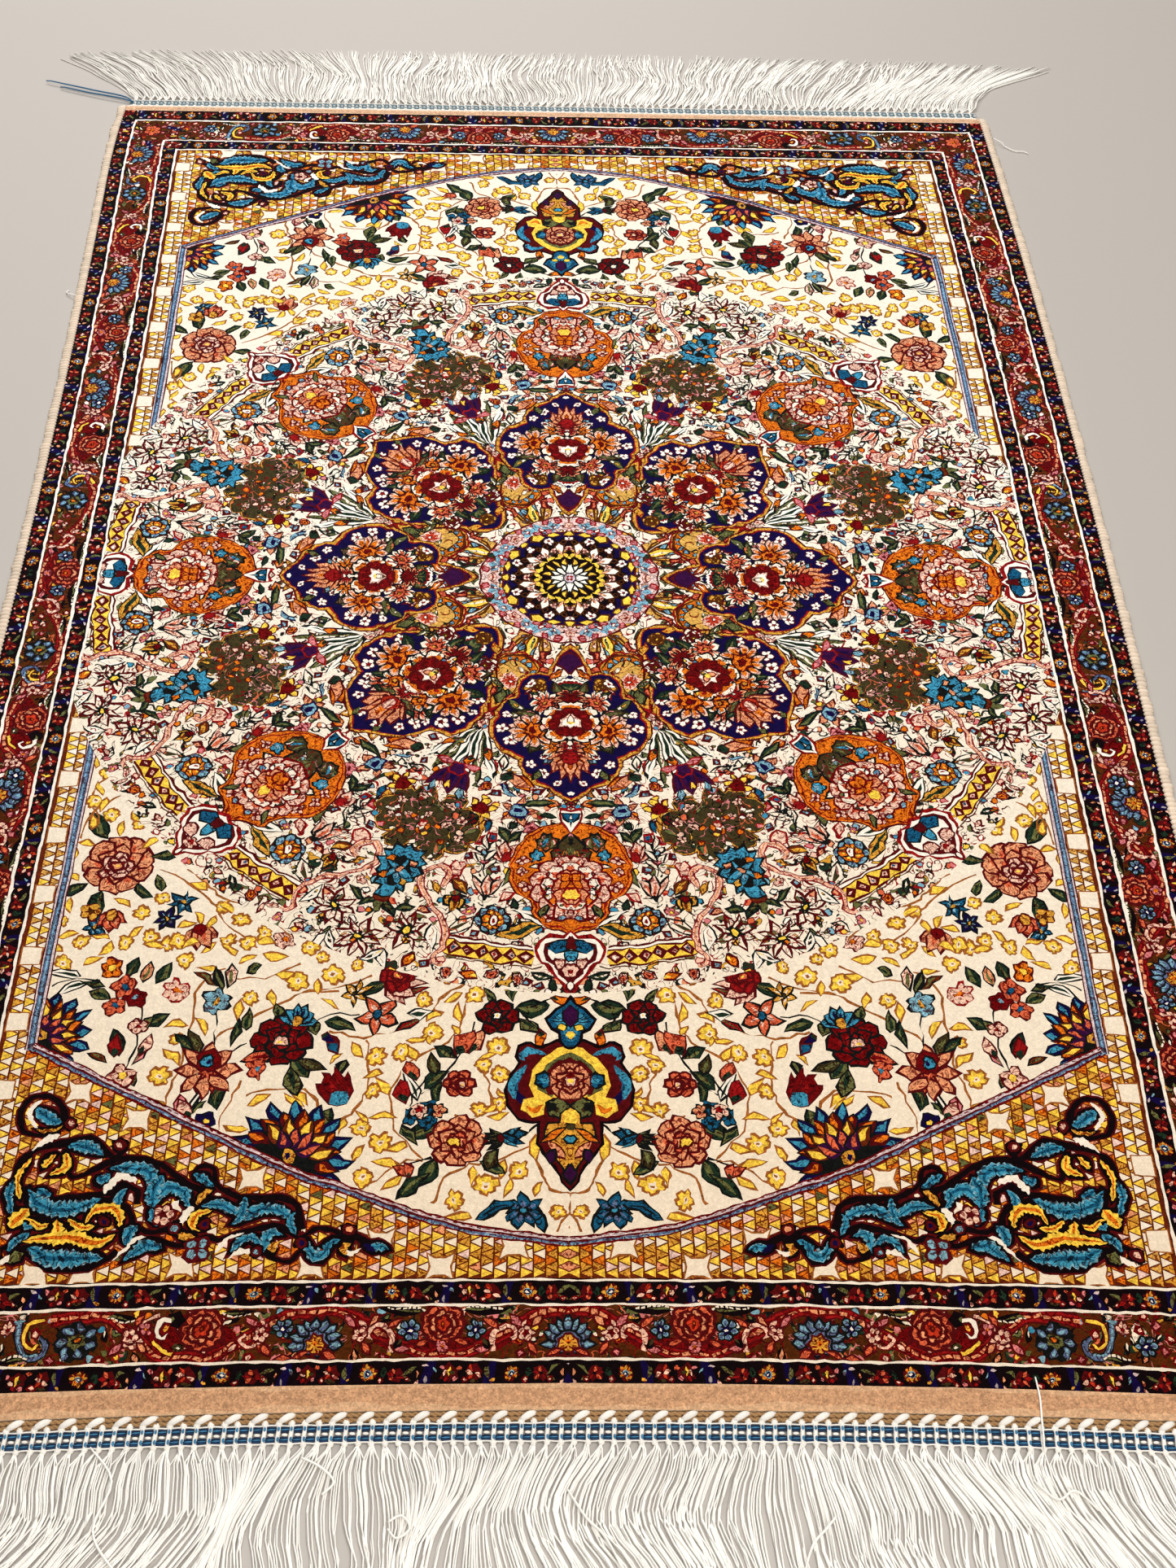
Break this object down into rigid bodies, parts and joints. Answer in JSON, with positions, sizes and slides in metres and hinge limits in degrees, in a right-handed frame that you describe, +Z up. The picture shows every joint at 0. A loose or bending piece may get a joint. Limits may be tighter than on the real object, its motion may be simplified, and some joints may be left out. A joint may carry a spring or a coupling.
{
  "type": "silk rug",
  "caption": "Flat hand-knotted silk rug with a medallion field, guarded borders, overcast side bindings, twined end bands and knotted fringes.",
  "frame": {"origin": "on the floor under the middle of the centre medallion, on the underside of the pile carpet", "axes": "+Z up out of the pile, +Y along the length towards the far fringe, +X across to the right binding"},
  "size_m": [1.1476, 1.7924, 0.0033],
  "materials": {
    "pile": "clipped silk pile, knotted floral design on a cream ground, soft sheen",
    "binding": "cream silk overcasting",
    "web": "flat-woven tan web with white whip stitches",
    "band": "twined blue and white cords",
    "fringe": "loose white silk warp ends"
  },
  "bodies": {
    "root": {"pile_carpet": "pile", "binding_left": "binding", "binding_right": "binding", "web_near": "web", "web_far": "web", "band_near": "band", "band_far": "band", "fringe_near": "fringe", "fringe_far": "fringe"}
  },
  "joints": []
}
